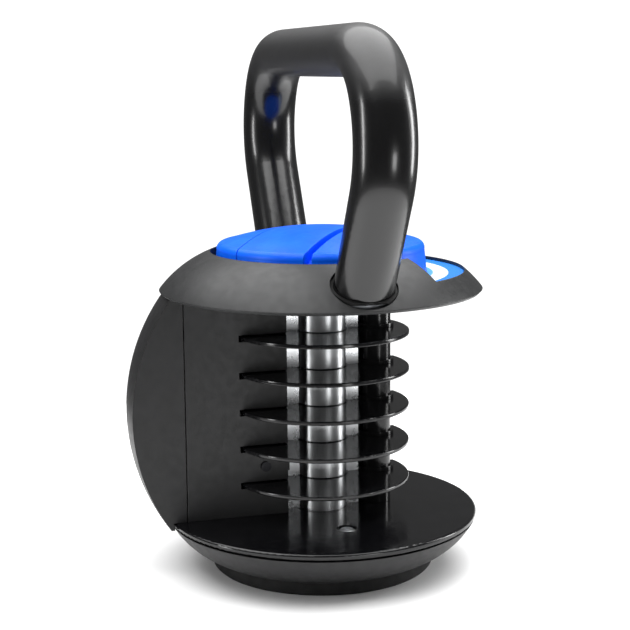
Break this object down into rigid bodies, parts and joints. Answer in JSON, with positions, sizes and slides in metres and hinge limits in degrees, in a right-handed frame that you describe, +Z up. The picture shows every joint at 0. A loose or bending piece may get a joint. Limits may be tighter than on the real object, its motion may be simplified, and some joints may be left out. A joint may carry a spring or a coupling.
{
  "type": "adjustable kettlebell",
  "caption": "Adjustable kettlebell with its weight plates out: loop handle, capped ball frame with open plate bays, lock tube and a turning selector knob with a press button.",
  "frame": {"origin": "centre of the foot's resting face", "axes": "+Z up along the lock tube, +X towards the open side where the plates slide in and along the handle's grip, +Y towards the guide post and the label window"},
  "size_m": [0.2344, 0.191, 0.2876],
  "materials": {
    "rubber": "matte black rubber",
    "zinc_screws": "zinc plated",
    "chrome_screws": "polished",
    "black_shell": "satin black moulding",
    "ballast_iron": "raw casting",
    "gloss_black": "gloss black",
    "bush_plastic": "natural black bearing plastic",
    "polished_steel": "polished",
    "spring_steel": "bright drawn",
    "hub_zinc": "die cast",
    "black_steel": "semi-gloss black powder coat",
    "plug_steel": "mill finish",
    "satin_black": "satin black moulding",
    "label_white": "printed film, blank",
    "blue_knob": "satin blue moulding"
  },
  "bodies": {
    "frame": {"foot": "rubber", "foot_screws": "zinc_screws", "bowl": "black_shell", "base_ballast": "ballast_iron", "base_plate": "gloss_black", "base_screws": "chrome_screws", "base_bush": "bush_plastic", "top_bush": "bush_plastic", "spine": "gloss_black", "spine_screws": "zinc_screws", "guide_post": "gloss_black", "post_screws": "zinc_screws", "post_rings": "gloss_black", "divider_1": "gloss_black", "divider_2": "gloss_black", "divider_3": "gloss_black", "divider_4": "gloss_black", "divider_5": "gloss_black", "wall_panel": "black_shell", "wall_bracket": "black_shell", "wall_screw": "zinc_screws", "back_wall": "black_shell", "back_shell": "black_shell", "shell_screws": "zinc_screws", "shell_ballast": "ballast_iron", "handle": "black_steel", "handle_plugs": "plug_steel", "handle_bolts": "zinc_screws", "chassis_plate": "plug_steel", "cap_screws": "zinc_screws", "cap": "satin_black", "leg_seals": "rubber", "label_tray": "black_shell", "dial_label": "label_white", "stop_ring": "bush_plastic"},
    "knob": {"knob": "blue_knob", "knob_floor": "blue_knob", "knob_screws": "zinc_screws", "drive_hub": "hub_zinc", "drive_pin": "spring_steel", "hub_screws": "zinc_screws", "lock_tube": "polished_steel", "tube_ring": "spring_steel", "button_spring": "spring_steel"},
    "button": {"release_button": "blue_knob", "catch_pin": "spring_steel"}
  },
  "joints": [
    {"name": "knob_turn", "type": "hinge", "parent": "frame", "child": "knob", "pos_m": [0, 0, 0.1594], "axis": [0, 0, 1], "range_deg": [0, 90]},
    {"name": "button_press", "type": "slide", "parent": "knob", "child": "button", "axis": [0, 0, -1], "range_m": [0, 0.0025], "stiffness_N_per_m": 800, "deforming": ["button_spring"]}
  ]
}
